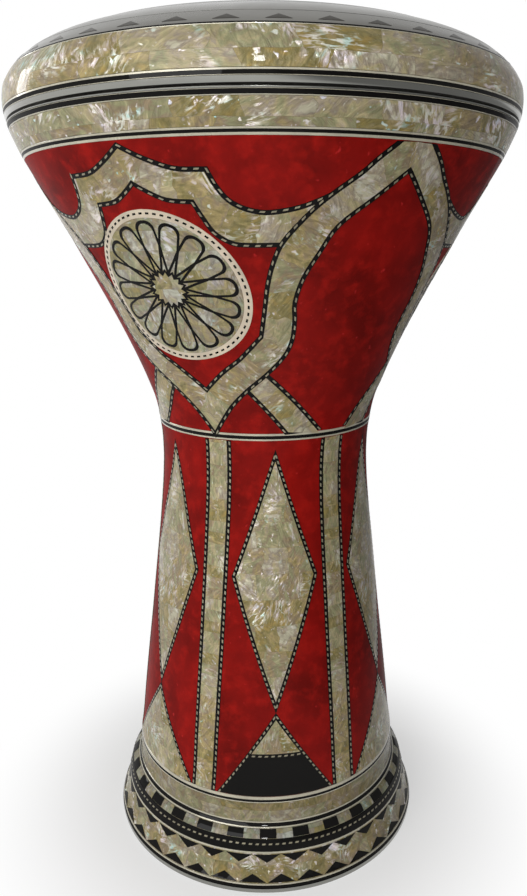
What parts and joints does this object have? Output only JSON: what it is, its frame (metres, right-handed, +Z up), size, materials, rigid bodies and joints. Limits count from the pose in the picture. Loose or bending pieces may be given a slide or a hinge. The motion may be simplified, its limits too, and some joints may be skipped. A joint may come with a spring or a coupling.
{
  "type": "goblet drum",
  "caption": "Goblet drum with a cast aluminium shell, inlaid shell-chip and red bands, film head and a rounded tension ring tuned by screws hidden in the bowl.",
  "frame": {"origin": "centre of the foot's underside", "axes": "+Z up along the drum's axis from foot to head; -Y is the front, where the black panel is"},
  "size_m": [0.2808, 0.2808, 0.4634],
  "materials": {
    "cast_aluminium": "polished casting",
    "zinc_steel": "zinc plated",
    "film": "satin polyester film",
    "red_inlay": "mottled red under clear lacquer",
    "pearl_inlay": "shell chips under clear lacquer",
    "black_filler": "black resin filler with light dashes"
  },
  "bodies": {
    "drum_body": {"bowl_casting": "cast_aluminium", "bowl_red_field": "red_inlay", "bowl_strapwork": "pearl_inlay", "bowl_top_line": "black_filler", "drumhead": "film", "foot_checker_band": "pearl_inlay", "foot_edge_line": "black_filler", "foot_pearl_band": "pearl_inlay", "foot_rope_band": "black_filler", "foot_step_line": "black_filler", "foot_zigzag_band": "pearl_inlay", "medallion_1": "pearl_inlay", "medallion_2": "pearl_inlay", "medallion_3": "pearl_inlay", "name_panel": "black_filler", "neck_line": "black_filler", "rim_line": "black_filler", "rim_pearl_band": "pearl_inlay", "stem_base_line": "black_filler", "stem_casting": "cast_aluminium", "stem_lozenge_1": "pearl_inlay", "stem_lozenge_2": "pearl_inlay", "stem_lozenge_3": "pearl_inlay", "stem_lozenge_4": "pearl_inlay", "stem_lozenge_5": "pearl_inlay", "stem_lozenge_6": "pearl_inlay", "stem_red_field": "red_inlay", "stem_strap_1": "pearl_inlay", "stem_strap_2": "pearl_inlay", "stem_strap_3": "pearl_inlay", "stem_strap_4": "pearl_inlay", "stem_strap_5": "pearl_inlay", "stem_strap_6": "pearl_inlay", "stem_triangle_1": "pearl_inlay", "stem_triangle_2": "pearl_inlay", "stem_triangle_3": "pearl_inlay", "stem_triangle_4": "pearl_inlay", "stem_triangle_5": "pearl_inlay", "stem_triangle_6": "pearl_inlay", "washer_1": "zinc_steel", "washer_2": "zinc_steel", "washer_3": "zinc_steel", "washer_4": "zinc_steel", "washer_5": "zinc_steel", "washer_6": "zinc_steel", "washer_7": "zinc_steel", "washer_8": "zinc_steel"},
    "ring_assembly": {"tension_ring": "cast_aluminium", "counter_hoop": "cast_aluminium", "ring_base_line": "black_filler", "ring_pearl_band": "pearl_inlay", "ring_sawtooth_band": "black_filler"},
    "tension_screw_1": {"tension_screw_1": "zinc_steel"},
    "tension_screw_2": {"tension_screw_2": "zinc_steel"},
    "tension_screw_3": {"tension_screw_3": "zinc_steel"},
    "tension_screw_4": {"tension_screw_4": "zinc_steel"},
    "tension_screw_5": {"tension_screw_5": "zinc_steel"},
    "tension_screw_6": {"tension_screw_6": "zinc_steel"},
    "tension_screw_7": {"tension_screw_7": "zinc_steel"},
    "tension_screw_8": {"tension_screw_8": "zinc_steel"}
  },
  "joints": [
    {"name": "ring_tension", "type": "slide", "parent": "drum_body", "child": "ring_assembly", "axis": [0, 0, 1], "range_m": [-0.001, 0.004]},
    {"name": "screw_1_turn", "type": "hinge", "parent": "drum_body", "child": "tension_screw_1", "pos_m": [0.10948, 0.04535, 0.414], "axis": [0, 0, 1], "range_deg": [-1445, 365]},
    {"name": "screw_2_turn", "type": "hinge", "parent": "drum_body", "child": "tension_screw_2", "pos_m": [0.04535, 0.10948, 0.414], "axis": [0, 0, 1], "range_deg": [-1445, 365]},
    {"name": "screw_3_turn", "type": "hinge", "parent": "drum_body", "child": "tension_screw_3", "pos_m": [-0.04535, 0.10948, 0.414], "axis": [0, 0, 1], "range_deg": [-1445, 365]},
    {"name": "screw_4_turn", "type": "hinge", "parent": "drum_body", "child": "tension_screw_4", "pos_m": [-0.10948, 0.04535, 0.414], "axis": [0, 0, 1], "range_deg": [-1445, 365]},
    {"name": "screw_5_turn", "type": "hinge", "parent": "drum_body", "child": "tension_screw_5", "pos_m": [-0.10948, -0.04535, 0.414], "axis": [0, 0, 1], "range_deg": [-1445, 365]},
    {"name": "screw_6_turn", "type": "hinge", "parent": "drum_body", "child": "tension_screw_6", "pos_m": [-0.04535, -0.10948, 0.414], "axis": [0, 0, 1], "range_deg": [-1445, 365]},
    {"name": "screw_7_turn", "type": "hinge", "parent": "drum_body", "child": "tension_screw_7", "pos_m": [0.04535, -0.10948, 0.414], "axis": [0, 0, 1], "range_deg": [-1445, 365]},
    {"name": "screw_8_turn", "type": "hinge", "parent": "drum_body", "child": "tension_screw_8", "pos_m": [0.10948, -0.04535, 0.414], "axis": [0, 0, 1], "range_deg": [-1445, 365]}
  ],
  "couplings": [
    {"joint": "screw_1_turn", "follows": "ring_tension", "rad_per_m": -6283.2},
    {"joint": "screw_2_turn", "follows": "ring_tension", "rad_per_m": -6283.2},
    {"joint": "screw_3_turn", "follows": "ring_tension", "rad_per_m": -6283.2},
    {"joint": "screw_4_turn", "follows": "ring_tension", "rad_per_m": -6283.2},
    {"joint": "screw_5_turn", "follows": "ring_tension", "rad_per_m": -6283.2},
    {"joint": "screw_6_turn", "follows": "ring_tension", "rad_per_m": -6283.2},
    {"joint": "screw_7_turn", "follows": "ring_tension", "rad_per_m": -6283.2},
    {"joint": "screw_8_turn", "follows": "ring_tension", "rad_per_m": -6283.2}
  ]
}
